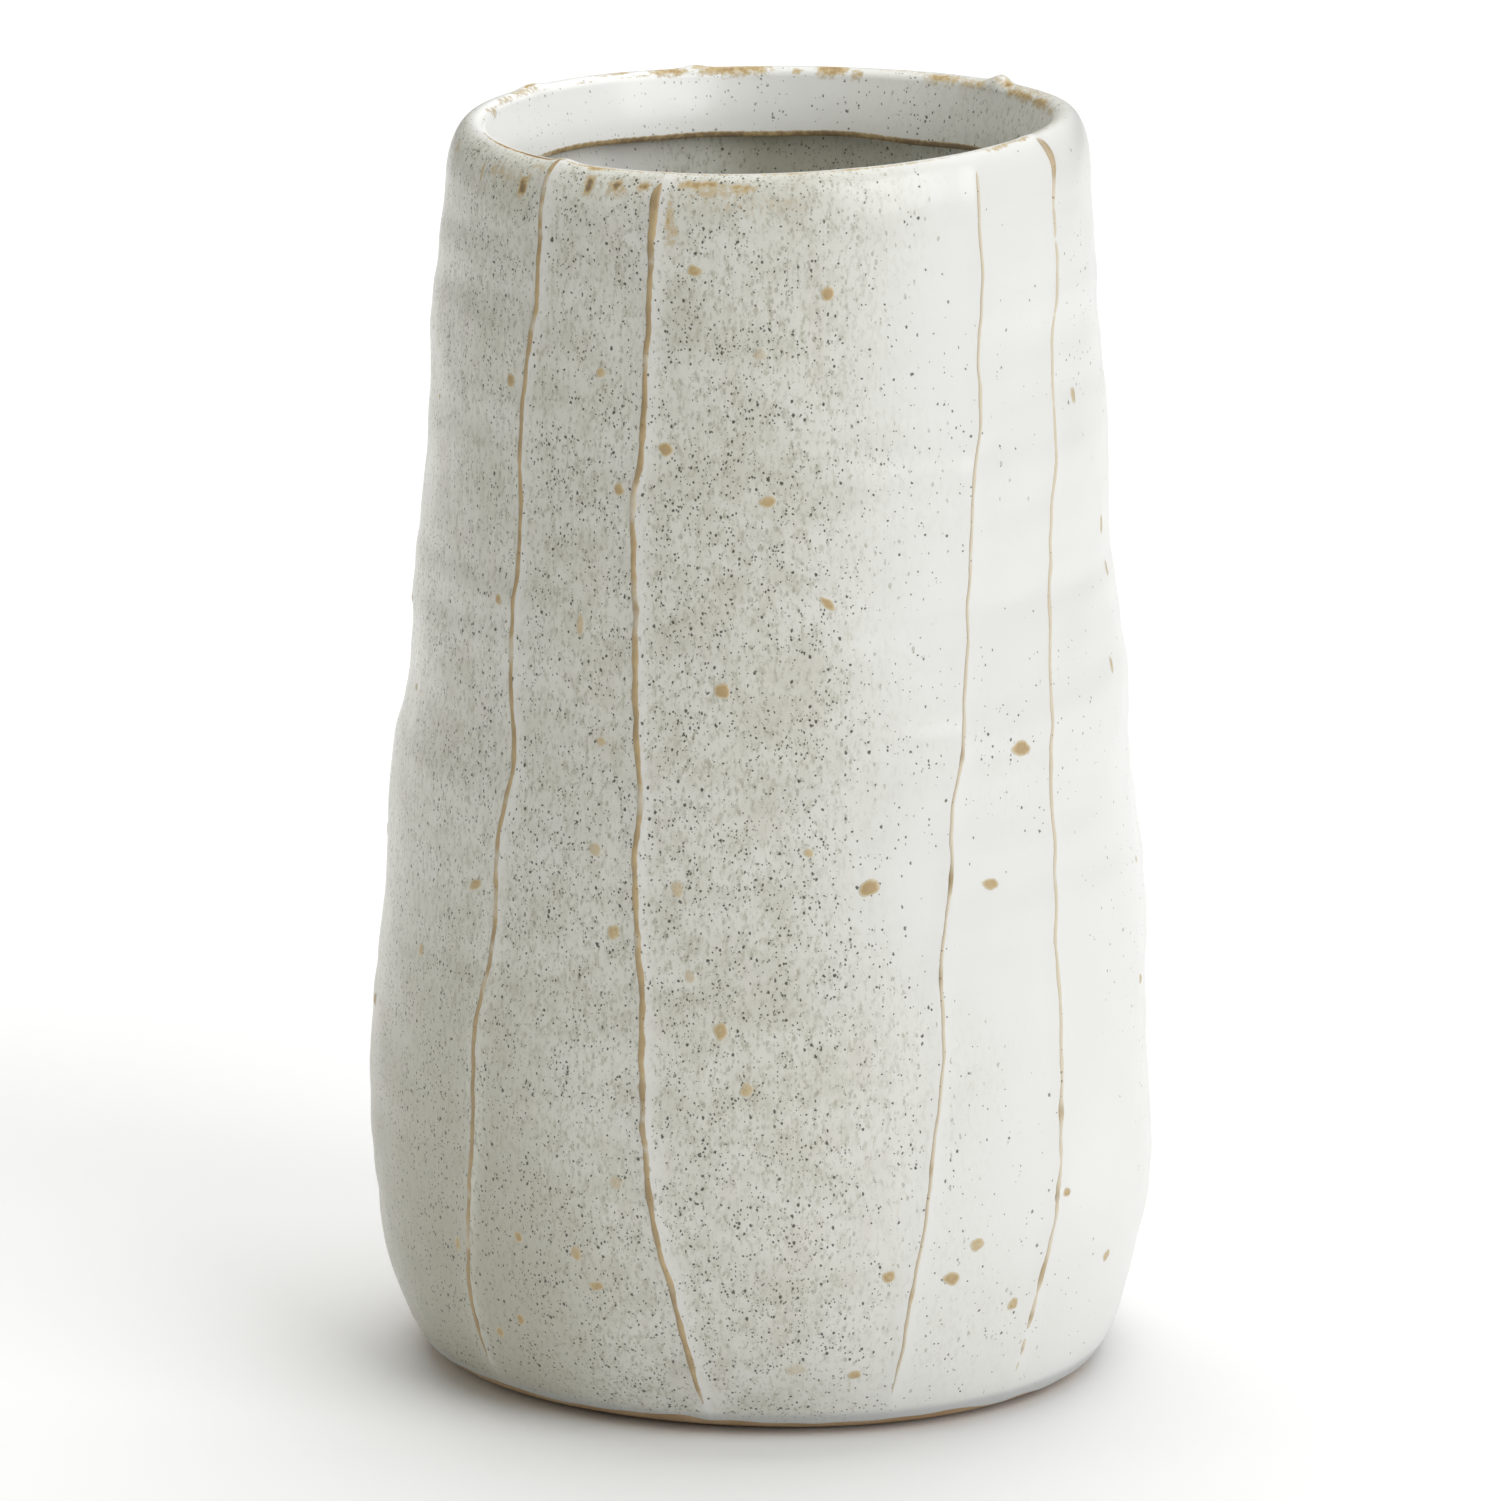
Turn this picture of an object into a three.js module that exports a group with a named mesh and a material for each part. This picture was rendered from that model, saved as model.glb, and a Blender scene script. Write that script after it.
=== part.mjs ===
// Stoneware vase. A thrown wall stands on a turned base, a rolled rim closes it at the top, and
// eight thin clay threads run down its side. The base and the rim are luted on: each has a step
// that fits inside the wall.
//
// Millimetres, +Z up. The origin is on the table, under the middle of the belly. Angles are degrees
// round the vase, from the middle of its front (-Y), growing towards +X. A level is a height on the
// outside of the vase. Above the start of the lip it goes on round the lip to its crest.
import * as THREE from 'three';

const HEIGHT = 240;
const FOOT_CHAMFER = 2;
const LIP_START = 228.5;
const GAP = 0.3;
const COLUMNS = 60;

const WALL_BOTTOM = FOOT_CHAMFER + GAP;
const WALL_TOP = 229.8;
const WALL_THICKNESS = 5.5;
const COLLAR_BOTTOM = 230;

// Height and outside radius, from the foot to the lip.
const OUTLINE = [
  [0, 59.5], [2, 63.5], [6, 67], [12, 69.6], [20, 72.2], [34, 74.7], [50, 75.3], [76, 74],
  [118, 70.2], [160, 65.8], [202, 62.8], [217, 61.7], [232, 60.5],
];
// Height and how far the hand-thrown wall's centre wanders towards +X.
const WANDER = [
  [0, 1.3], [20, 0.2], [34, 0.6], [62, -0.2], [76, 0], [97, 0.8], [118, 0.2], [132, 1.5],
  [155, 0.6], [181, 1.2], [202, 0.7], [217, 1.4], [232, 1.6],
];
// Size, number of lobes and angle of the first lobe.
const FOOT_WAVES = [[0.6, 1, 146], [1, 2, 76], [1.2, 3, 44]];
const FOOT_WAVE_FADE = 14;
const RIM_WAVES = [[1, 1, 104], [0.6, 2, 69]];

const RECESS_RADIUS = 44;
const RECESS_DEPTH = 1.5;
const SPIGOT_RADIUS = 57.2;
const FLOOR_HEIGHT = 8.5;
const FLOOR_FILLET = 5;
const FLOOR_FILLET_FADE = 4;

const CREST_INSET = 5.2;
const LIP_REACH = 2.5;
const LIP_DROP = 2;
const BORE_TAPER = 1.9;
const SEAT_INSET = CREST_INSET + LIP_REACH + BORE_TAPER;
const SEAT_DEPTH = 13.4;
const SEAT_EDGE = 0.8;
const SKIRT_INSET = WALL_THICKNESS + GAP;

const THREAD_DEPTH = 0.65;
// Width of each thread, and the level and angle of the points it passes.
const THREADS = [
  { width: 1.4, path: [[9, -49.5], [18, -48.7], [30, -48.6], [45, -47.2], [62, -45.8], [77, -45.9],
    [93, -44.2], [111, -44.1], [124, -42.9], [138, -44.5], [168, -44.1], [186, -45.3], [201, -44.1],
    [212, -43.1], [231, -43.5], [239.5, -42.8]] },
  { width: 1.6, path: [[6, -10], [18, -11.2], [30, -13.1], [42, -15.3], [54, -16.3], [72, -17.1],
    [87, -17.9], [98, -19.2], [122, -19], [134, -20.8], [156, -21], [180, -22.3], [187, -21.2],
    [204, -20.6], [222, -20.8], [236, -19.7]] },
  { width: 1.2, path: [[8, 20], [20, 21.3], [32, 21.8], [44, 23.5], [56, 25], [74, 26.8],
    [96, 26.8], [108, 29.1], [122, 29.8], [140, 32.1], [152, 34.1], [166, 34.9], [181, 35.5],
    [190, 37.7], [206, 38.4], [219, 39.3], [230, 39], [234, 40]] },
  { width: 1.6, path: [[8, 42.6], [20, 44.1], [34, 45.2], [46, 47], [60, 48.5], [76, 49.1],
    [91, 48], [112, 49.6], [130, 49.7], [145, 51.3], [160, 53.6], [171, 54.1], [182, 56],
    [202, 57.7], [214, 59], [229, 58.6], [233, 60.4], [238, 59.3]] },
  { width: 1.3, path: [[12, 99], [30, 100.4], [50, 100.8], [74, 103.6], [105, 104.8],
    [150, 104.2], [171, 106.4], [200, 106.8], [222, 107.7], [238, 108]] },
  { width: 1.5, path: [[7, 140], [22, 138.6], [40, 138.2], [66, 136.2], [95, 135.9], [118, 134.2],
    [160, 133.6], [182, 131.8], [205, 131.2], [226, 130.4], [239, 128]] },
  { width: 1.2, path: [[10, -152], [34, -154.6], [60, -155.6], [84, -157.4], [110, -157.8],
    [140, -160.8], [170, -162.6], [192, -163], [215, -164.4], [238, -165]] },
  { width: 1.5, path: [[14, -121], [28, -122.6], [45, -122.8], [68, -125.4], [90, -126.6],
    [113, -126], [140, -126.4], [166, -128.8], [190, -129.4], [214, -129], [239, -127]] },
];

const GLAZE = new THREE.MeshStandardMaterial({ color: 0xd8d4ca, roughness: 0.35, metalness: 0 });
const BARE_CLAY = new THREE.MeshStandardMaterial({ color: 0xb89a6e, roughness: 0.85, metalness: 0 });
const THREAD_CLAY = new THREE.MeshStandardMaterial({ color: 0xc09c6a, roughness: 0.6, metalness: 0 });

// A smooth curve through points of [place, value], read at one place.
function curveAt(points, place) {
  const last = points.length - 1;
  const slope = (i) => {
    const [a, b] = [points[Math.max(i - 1, 0)], points[Math.min(i + 1, last)]];
    return (b[1] - a[1]) / (b[0] - a[0]);
  };
  const next = points.findIndex((point) => point[0] > place);
  const i = next < 0 ? last - 1 : Math.max(next - 1, 0);
  const [start, end] = [points[i], points[i + 1]];
  const span = end[0] - start[0];
  const t = (place - start[0]) / span;
  const blend = t * t * (3 - 2 * t);
  return start[1] + (end[1] - start[1]) * blend
    + span * t * (1 - t) * ((1 - t) * slope(i) - t * slope(i + 1));
}

function evenSteps(from, to, count) {
  return Array.from({ length: count + 1 }, (_, i) => from + (to - from) * i / count);
}

const toRadians = THREE.MathUtils.degToRad;

function waves(list, angle) {
  const wave = ([size, lobes, first]) => size * Math.cos(lobes * toRadians(angle - first));
  return list.map(wave).reduce((sum, height) => sum + height, 0);
}

function bodyRadius(angle, height) {
  return curveAt(OUTLINE, height) + waves(FOOT_WAVES, angle) * Math.exp(-height / FOOT_WAVE_FADE);
}

function rimHeight(angle) {
  return HEIGHT + waves(RIM_WAVES, angle);
}

// A point at a radius from the wall's own centre, which wanders with the level.
function pointAt(angle, radius, level, height) {
  const turn = toRadians(angle);
  const centre = curveAt(WANDER, level);
  return new THREE.Vector3(centre + radius * Math.sin(turn), -radius * Math.cos(turn), height);
}

// How far round the lip a level is, from 0 where it starts to a quarter turn at the crest.
function lipTurn(level) {
  return Math.max(level - LIP_START, 0) / (HEIGHT - LIP_START) * Math.PI / 2;
}

function outerHeight(angle, level) {
  const start = Math.min(level, LIP_START);
  return start + (rimHeight(angle) - LIP_START) * Math.sin(lipTurn(level));
}

// A point on the outside of the vase: up the wall, then round a quarter ellipse to the crest.
function outerPoint(angle, level) {
  const start = Math.min(level, LIP_START);
  const radius = bodyRadius(angle, start) - CREST_INSET * (1 - Math.cos(lipTurn(level)));
  return pointAt(angle, radius, start, outerHeight(angle, level));
}

function ring(makePoint) {
  return Array.from({ length: COLUMNS }, (_, i) => makePoint(i * 360 / COLUMNS));
}

const outerRing = (level) => ring((angle) => outerPoint(angle, level));
const footCircle = (radius, height) => ring((angle) => pointAt(angle, radius, 0, height));
const wallRing = (inset, level) => ring(
  (angle) => pointAt(angle, bodyRadius(angle, level) - inset, level, level),
);
// A ring inside the lip, at a height of its own for each angle.
const lipRing = (inset, heightAt) => ring(
  (angle) => pointAt(angle, bodyRadius(angle, LIP_START) - inset, LIP_START, heightAt(angle)),
);

// One closed skin over loops of points. The loops either join up end to end or are capped.
function skin(loops, capped) {
  const size = loops[0].length;
  const points = loops.flat();
  const faces = [];
  const joins = capped ? loops.length - 1 : loops.length;
  for (let row = 0; row < joins; row += 1) {
    const above = (row + 1) % loops.length;
    for (let i = 0; i < size; i += 1) {
      const j = (i + 1) % size;
      const [a, b, c, d] = [row * size + i, row * size + j, above * size + j, above * size + i];
      faces.push(a, b, c, a, c, d);
    }
  }
  if (capped) {
    for (const [row, down] of [[0, true], [loops.length - 1, false]]) {
      const middle = points.length;
      const sum = loops[row].reduce((total, point) => total.add(point), new THREE.Vector3());
      points.push(sum.divideScalar(size));
      for (let i = 0; i < size; i += 1) {
        const [a, b] = [row * size + i, row * size + (i + 1) % size];
        faces.push(...(down ? [middle, b, a] : [middle, a, b]));
      }
    }
  }
  const geometry = new THREE.BufferGeometry().setFromPoints(points);
  geometry.setIndex(faces);
  geometry.computeVertexNormals();
  return geometry;
}

// Levels shared by the wall and the threads, so that the gap between them stays even.
const FOOT_LEVELS = [WALL_BOTTOM, 5, 9, 14, 21];
const WALL_LEVELS = [...FOOT_LEVELS, ...evenSteps(30, WALL_TOP, 24)];
const LIP_LEVELS = evenSteps(COLLAR_BOTTOM, HEIGHT, 5);

// Turned base: a foot ring round a shallow recess below, and a spigot inside the wall above.
function baseSlab() {
  return skin([
    footCircle(RECESS_RADIUS, RECESS_DEPTH),
    footCircle(RECESS_RADIUS + RECESS_DEPTH, 0),
    wallRing(0, 0),
    wallRing(0, FOOT_CHAMFER),
    footCircle(SPIGOT_RADIUS, FOOT_CHAMFER),
    footCircle(SPIGOT_RADIUS, FLOOR_HEIGHT),
  ], true);
}

// Thrown wall: thick where it turns into the floor, even above, and open at both ends.
function wall() {
  const thickness = (height) => WALL_THICKNESS
    + FLOOR_FILLET * Math.exp((FLOOR_HEIGHT - height) / FLOOR_FILLET_FADE);
  const inside = [10, 12, 15, 20, ...evenSteps(30, LIP_START, 9)].reverse();
  return skin([
    ...WALL_LEVELS.map(outerRing),
    lipRing(WALL_THICKNESS, (angle) => outerHeight(angle, WALL_TOP)),
    ...inside.map((height) => wallRing(thickness(height), height)),
    footCircle(SPIGOT_RADIUS + GAP, FLOOR_HEIGHT),
    footCircle(SPIGOT_RADIUS + GAP, WALL_BOTTOM),
  ], false);
}

// Rolled rim: a round lip over the wall, and a skirt down inside it that ends in a narrow seat.
function rimCollar() {
  const seat = HEIGHT - SEAT_DEPTH;
  const innerLip = (turn) => lipRing(
    CREST_INSET + LIP_REACH * Math.sin(turn),
    (angle) => rimHeight(angle) - LIP_DROP * (1 - Math.cos(turn)),
  );
  return skin([
    ...LIP_LEVELS.map(outerRing),
    ...[30, 60, 90].map((turn) => innerLip(toRadians(turn))),
    lipRing(SEAT_INSET, () => seat + SEAT_EDGE),
    lipRing(SEAT_INSET - SEAT_EDGE, () => seat),
    lipRing(SKIRT_INSET, () => seat),
    lipRing(SKIRT_INSET, (angle) => outerHeight(angle, COLLAR_BOTTOM)),
  ], false);
}

// The section of a thread, on its back against the wall: flat behind and arched in front.
function threadSection(angle, level, width) {
  const step = 0.5;
  const centre = outerPoint(angle, level);
  const side = outerPoint(angle + step, level).sub(outerPoint(angle - step, level)).normalize();
  const up = outerPoint(angle, level + step).sub(outerPoint(angle, level - step)).normalize();
  const out = side.clone().cross(up);
  const place = (across, proud) => centre.clone()
    .addScaledVector(side, across * width)
    .addScaledVector(out, GAP + proud * THREAD_DEPTH * width);
  return [place(-0.5, 0), place(-0.4, 0.7), place(0, 1), place(0.4, 0.7), place(0.5, 0)];
}

function thread({ width, path }) {
  const [from, to] = [path[0][0], path.at(-1)[0]];
  const between = [...WALL_LEVELS.slice(0, -1), ...LIP_LEVELS]
    .filter((level) => level > from + 1 && level < to - 0.5);
  const levels = [from, ...between, to];
  return skin(levels.map((level) => threadSection(curveAt(path, level), level, width)), true);
}

function piece(name, geometry, material) {
  const mesh = new THREE.Mesh(geometry, material);
  mesh.name = name;
  return mesh;
}

const vase = new THREE.Group();
vase.add(piece('base_slab', baseSlab(), BARE_CLAY));
vase.add(piece('wall', wall(), GLAZE));
vase.add(piece('rim_collar', rimCollar(), GLAZE));
THREADS.forEach((shape, i) => vase.add(piece(`thread_${i + 1}`, thread(shape), THREAD_CLAY)));

export default vase;
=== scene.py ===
"""Looks of the stoneware vase: fine meshes and fired-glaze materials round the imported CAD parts.

The shape tables are in millimetres, as the CAD source has them, and MM turns them into metres.
Angles are degrees round the vase, from the middle of its front (-Y), growing towards +X. A level is
a height on the outside of the vase. Above LIP_START it goes on round the lip to the crest at HEIGHT,
and past HEIGHT it goes down the inner side of the lip.
"""
import math

import bpy
import numpy as np
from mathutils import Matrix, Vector


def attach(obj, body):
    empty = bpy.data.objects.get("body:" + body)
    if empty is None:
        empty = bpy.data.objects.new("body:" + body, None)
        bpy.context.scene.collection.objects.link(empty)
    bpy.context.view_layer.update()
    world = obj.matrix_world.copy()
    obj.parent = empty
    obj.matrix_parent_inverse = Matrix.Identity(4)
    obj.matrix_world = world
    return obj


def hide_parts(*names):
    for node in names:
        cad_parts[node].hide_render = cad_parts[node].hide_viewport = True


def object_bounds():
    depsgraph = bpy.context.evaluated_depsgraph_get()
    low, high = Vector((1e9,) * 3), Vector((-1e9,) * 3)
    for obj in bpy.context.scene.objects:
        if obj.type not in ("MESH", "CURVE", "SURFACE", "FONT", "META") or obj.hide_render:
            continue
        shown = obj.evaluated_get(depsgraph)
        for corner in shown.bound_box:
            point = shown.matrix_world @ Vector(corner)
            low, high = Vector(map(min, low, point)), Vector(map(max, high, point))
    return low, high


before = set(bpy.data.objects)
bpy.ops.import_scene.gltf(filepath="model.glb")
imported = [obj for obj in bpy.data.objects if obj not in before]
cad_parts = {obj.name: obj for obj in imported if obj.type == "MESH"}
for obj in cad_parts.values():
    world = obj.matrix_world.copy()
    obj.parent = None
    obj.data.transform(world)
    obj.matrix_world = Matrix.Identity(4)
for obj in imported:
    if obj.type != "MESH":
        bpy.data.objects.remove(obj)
cad_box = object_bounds()

MM = 0.001
HEIGHT = 240
LIP_START = 228.5
SEAM = 230
WALL_THICKNESS = 5.5
CREST_INSET = 5.2
LIP_REACH = 2.5
LIP_DROP = 2
LIP_TURN = 80
LIP_LENGTH = 3.6
BORE_TAPER = 1.9
SEAT_DEPTH = 13.4
SPIGOT_RADIUS = 57.2
SPIGOT_TOP = 4
FLOOR_HEIGHT = 8.5
FLOOR_FILLET = 5
FLOOR_FILLET_FADE = 4
RECESS_RADIUS = 44
RECESS_DEPTH = 1.5
RING_INNER_RADIUS = 46.5

# Height and outside radius, and height and how far the wall's centre wanders towards +X.
OUTLINE = [
    (0, 59.5), (2, 63.5), (6, 67), (12, 69.6), (20, 72.2), (34, 74.7), (50, 75.3), (76, 74),
    (118, 70.2), (160, 65.8), (202, 62.8), (217, 61.7), (232, 60.5),
]
WANDER = [
    (0, 1.3), (20, 0.2), (34, 0.6), (62, -0.2), (76, 0), (97, 0.8), (118, 0.2), (132, 1.5),
    (155, 0.6), (181, 1.2), (202, 0.7), (217, 1.4), (232, 1.6),
]
# Size, number of lobes and angle of the first lobe.
FOOT_WAVES = [(0.6, 1, 146), (1, 2, 76), (1.2, 3, 44)]
FOOT_WAVE_FADE = 14
RIM_WAVES = [(1, 1, 104), (0.6, 2, 69)]

# Width of each clay thread; where it swells (+) or sinks under the glaze (-), as level, size and
# length; and the level and angle of the points it passes.
THREADS = [
    (1.1, [(209, 0.2, 3), (129, 0.2, 3)], [(9, -49.5), (18, -48.7), (30, -48.6), (45, -47.2),
     (62, -45.8), (77, -45.9), (93, -44.2), (111, -44.1), (124, -42.9), (138, -44.5), (150, -44.5),
     (168, -44.1), (186, -45.3), (201, -44.1), (212, -43.1), (231, -43.5), (237, -43.4), (241, -42.6)]),
    (1.2, [(231, 0.8, 4), (150, 0.2, 2), (50, 0.5, 1.2)], [(6, -10), (18, -11.2), (30, -13.1),
     (42, -15.3), (54, -16.3), (72, -17.1), (87, -17.9), (98, -19.2), (114, -19.4), (122, -19),
     (134, -20.8), (156, -21), (170, -22), (180, -22.3), (187, -21.2), (204, -20.6), (222, -20.8),
     (233, -20.4), (236, -19.7)]),
    (0.75, [(131, 0.6, 1.5), (108, 0.9, 2.5), (90, 0.5, 2), (54, 0.5, 1.2), (30, 0.4, 1.2)],
     [(8, 20), (20, 21.3), (32, 21.8), (44, 23.5), (56, 25), (74, 26.8), (86, 26.4), (96, 26.8),
     (108, 29.1), (122, 29.8), (140, 32.1), (152, 34.1), (166, 34.9), (181, 35.5), (190, 37.7),
     (206, 38.4), (219, 39.3), (230, 39), (235, 39.8)]),
    (0.95, [(236, 3.4, 3.6), (228.7, -0.6, 0.5), (222.5, -0.6, 1), (208.5, -0.5, 0.5), (190, -0.2, 5),
     (156, 0.4, 4), (124, 0.4, 5), (59.6, 0.9, 2.2), (50.5, -0.45, 1.5), (44.5, 0.8, 2.2),
     (29.5, 1.2, 3), (25, -0.6, 0.8), (20.5, 0.9, 1.4), (17, -0.9, 1.3),
     (13.8, 0.6, 0.7), (12, -0.6, 0.7), (10.4, 0.5, 0.6)],
     [(8, 42.6), (20, 44.1), (34, 45.2), (46, 47), (60, 48.5), (76, 49.1), (91, 48), (100, 48.5),
     (112, 49.6), (130, 49.7), (145, 51.3), (160, 53.6), (171, 54.1), (182, 56), (202, 57.7),
     (214, 59), (222, 58.7), (229, 58.6), (231, 59.2), (233, 60.3), (235, 60.3), (238, 59.2)]),
    (1.0, [(190, 0.5, 3), (90, -0.8, 1.6), (30, 0.5, 3)], [(12, 99), (30, 100.4), (50, 100.8),
     (74, 103.6), (105, 104.8), (128, 104), (150, 104.2), (171, 106.4), (200, 106.8), (222, 107.7),
     (231, 108)]),
    (1.2, [(236, 0.6, 3), (140, 0.4, 2), (64, -0.8, 1.4)], [(7, 140), (22, 138.6), (40, 138.2),
     (66, 136.2), (95, 135.9), (118, 134.2), (141, 134.6), (160, 133.6), (182, 131.8), (205, 131.2),
     (226, 130.4), (239, 128)]),
    (0.9, [(180, 0.5, 2), (120, -0.8, 1.6), (50, 0.4, 3)], [(10, -152), (34, -154.6), (60, -155.6),
     (84, -157.4), (110, -157.8), (140, -160.8), (170, -162.6), (192, -163), (215, -164.4), (238, -165)]),
    (1.2, [(235, 0.5, 3), (160, 0.3, 3), (100, 0.6, 2), (36, -0.8, 1.4)], [(14, -121), (28, -122.6),
     (45, -122.8), (68, -125.4), (90, -126.6), (113, -126), (140, -126.4), (166, -128.8), (190, -129.4),
     (214, -129), (239, -127)]),
]
# Coarse grog that lifts the glaze: angle, level, width, height, lean in degrees (down to the right is
# negative) and how brown it has broken.
GROG = [
    (-13, 222, 2.8, 2.0, -20, 0.8), (10, 218, 2.5, 2.5, 0, 0.9), (-48, 198, 2.2, 2.6, 0, 0.9),
    (-29, 202, 2.0, 2.0, 0, 0.6), (-17, 189, 2.6, 2.4, 0, 1), (0, 180, 3.1, 2.0, 15, 0.8),
    (-25, 181, 2.0, 2.2, 0, 0.9), (10, 161, 3.4, 1.6, -40, 0.8), (-48, 157, 1.7, 2.0, 0, 0.8),
    (-31, 155, 1.6, 4.0, 0, 0.45), (-7, 145, 2.9, 2.7, 0, 1), (43, 130, 4.8, 2.6, -6, 0.9),
    (-27, 134, 2.0, 1.7, 0, 0.5), (-26, 114, 2.6, 2.6, 0, 0.4), (16, 108, 3.9, 2.8, 20, 1),
    (36, 106, 3.4, 2.2, -15, 0.7), (-13, 108, 2.6, 3.0, 0, 0.4), (-49, 103, 3.8, 1.9, 25, 0.8),
    (-23, 99, 2.4, 2.7, 0, 0.7), (-62, 87, 2.2, 2.5, 0, 0.5), (-11, 92, 2.1, 2.5, 0, 0.2),
    (-6, 82, 2.6, 3.2, 0, 0.8), (-2, 71, 2.5, 2.5, 0, 0.6), (-21, 52, 2.5, 2.5, 0, 0.3),
    (49, 44, 2.2, 1.7, 0, 0.8), (-51, 33, 1.8, 2.8, 0, 0.7), (-38, 38, 1.8, 2.2, 0, 0.8),
    (-28, 37, 2.4, 2.8, 0, 0.6), (-25, 31, 3.1, 1.8, 0, 0.7), (-39, 21, 1.8, 2.2, 0, 0.9),
    (-44, 17, 2.0, 2.0, 0, 0.8), (32, 38, 3.1, 2.5, 0, 0.6), (28, 32, 3.6, 2.5, -25, 0.9),
    (18, 34, 2.5, 2.2, 0, 0.8), (40, 24, 2.4, 2.4, 0, 0.7), (62, 27, 2.5, 2.2, 0, 0.6),
    (14, 14, 2.5, 1.8, 0, 0.7), (7, 115, 1.8, 1.6, 0, 0.5),
    (-1, 207, 2.6, 2.2, 0, 0.1), (5, 15.5, 3.6, 2.4, 0, 0.1), (65, 192, 1.8, 3.2, 0, 0.5),
    (76, 165, 1.8, 3.4, 0, 0.45), (78, 156, 1.6, 3.0, 0, 0.5),
    (72, 139, 1.6, 3.2, 0, 0.45),
]
GROG_AT_BACK = 34
# Rings of a grain, from its top to the skirt sunk in the wall: distance from its middle and height, both
# as shares of the whole.
GROG_REACH = (0.05, 0.3, 0.5, 0.65, 0.8, 0.92, 1.05, 0.5)
GROG_LIFT = (1.0, 0.95, 0.8, 0.6, 0.35, 0.12, -0.35, -0.6)
# Where the glaze has run thin and the tan clay shows: angle, level, width, height and strength.
THIN_PATCHES = [
    (-63, 233, 0.8, 3.0, 0.9), (-58, 234, 4, 3, 0.45), (-53.5, 233.5, 5, 3.0, 0.35),
    (-49.2, 232.5, 1.8, 2.8, 1.5), (-49.5, 233.5, 4, 4.5, 0.3), (-46.5, 236.5, 4, 3.4, 0.35),
    (-34, 234.5, 1.4, 3.4, 1.6), (-34, 234.5, 3.2, 5, 0.35), (-34, 238.4, 3.6, 0.9, 0.9),
    (-28.4, 234.8, 1.8, 1.6, 1.5), (-28.4, 234.6, 4.5, 3.2, 0.45), (-23, 235, 2.0, 1.2, 1.25),
    (-23, 235, 4, 2.4, 0.4), (-17.6, 230, 1.4, 7, 0.75), (-12.5, 236, 8, 1.6, 1.0),
    (-5, 235.4, 5, 1.4, 0.85), (-9, 235, 14, 3.2, 0.35), (-4, 232.5, 26, 3.5, 0.2),
    (48, 238.8, 8, 1.5, 0.7), (56, 239.2, 4, 1.6, 0.6), (213, 240.6, 9, 1.3, 0.55),
    (201, 241.2, 7.5, 3, 0.9), (187.5, 241.3, 16, 3.8, 0.9), (174.5, 242.2, 2.7, 1.8, 0.5),
    (167, 241.3, 6.5, 3.8, 1.05), (161.5, 242.6, 2.4, 2.4, 0.8), (141.5, 242, 9, 3, 0.75),
    (133, 242.6, 8, 3, 0.55), (123.3, 241, 2.2, 2.0, 1.3), (116, 242.8, 12, 2.6, 0.8),
    (105, 243.2, 10, 2.6, 0.85), (96, 243.4, 6, 2.6, 0.7), (-102, 242.4, 5, 3.4, 0.5),
    (-121, 241, 9, 2.4, 0.5), (-124, 240.3, 4, 1.0, 1.1), (-112, 241.4, 7, 2.4, 0.4),
    (150, 236, 5, 2.2, 0.6), (175, 234, 3, 3, 0.6), (-150, 235, 3, 2.6, 0.6), (-100, 233, 3, 3, 0.5),
    (95, 234, 3, 2, 0.5), (-80, 234, 4, 3, 0.4), (150, 240.4, 22, 3, 0.2), (127, 240.5, 6, 4, 0.3),
    (115, 241, 24, 3.6, 0.3),
]
# How far the glaze has drawn off the crest of the rim: angle and strength.
CREST_LINE = [
    (-180, 0.1), (-120, 0.2), (-95, 0.2), (-76, 0.15), (-66, 1.1), (-46, 1.6), (-38, 0.8), (-25, 0.5),
    (0, 0.4), (30, 0.45), (50, 0.6), (64, 0.4), (80, 0.1), (180, 0.1),
]
# How thick and white the glaze lies, partly real and partly painted light: whiter towards the right, where
# the key light falls. And how thick its iron specks lie: angle and value.
THICKNESS_AND_LIGHT = [
    (-180, 0.35), (-120, 0.3), (-60, 0.1), (-25, 0.1), (5, 0.17), (15, 0.48), (25, 0.78), (38, 0.92),
    (60, 1), (95, 0.9), (140, 0.5), (180, 0.35),
]
SPECKLES = [
    (-180, 0.5), (-120, 0.5), (-60, 0.6), (-30, 0.8), (-8, 1.05), (6, 0.9), (16, 0.42), (24, 0.24),
    (34, 0.12), (60, 0.05), (95, 0.12), (140, 0.4), (180, 0.5),
]
# Bumps on the crest where threads end on it or near it: angle and size.
RIM_BUMPS = [(127, 1.0), (-124, 0.5), (-165, 0.3), (-42, 0.25)]

# Level of the glaze's lower edge on average, how much lower it is on the right, and how much painted shade
# darkens the glaze towards the foot on the left and how far up that reaches.
GLAZE_EDGE = 2.9
GLAZE_EDGE_TILT = 1.4
LEFT_FOOT_SHADE = 2.35
LEFT_FOOT_SHADE_REACH = 80
# Glaze pooled beside a thread and painted whiter, mostly on its +angle side: partly real pooling and partly
# painted light where that side faces the key light on the front. Width, share on its -angle side, and the
# distance over which it fades past the thread's ends.
POOL_AND_HIGHLIGHT_WIDTH = 2.4
POOL_AND_HIGHLIGHT_BEHIND = 0.4
POOL_AND_HIGHLIGHT_FADE = 5
# How far up the wall its mesh follows the glaze's wavy edge, the glaze piled up along a thread (width,
# height, and the distance over which it fades past the thread's ends), and the least angle of a sharp edge.
EDGE_REACH = 10
SWELL_WIDTH = 2.4
SWELL_HEIGHT = 0.38
SWELL_FADE = 6
SHARP_ANGLE = 50
# Cosine waves in a ripple, and radii of the rim's thin patches, of its bumps and of the vase on average.
RIPPLE_WAVES = 24
PATCH_RADIUS = 57
CREST_RADIUS = 56
MEAN_RADIUS = 70
# Distances from the middle of a thread to the mesh columns beside it.
NEAR_THREAD = (0.3, 0.5, 0.7, 0.95, 1.25, 1.6, 2.1, 2.8, 3.8)
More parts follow.
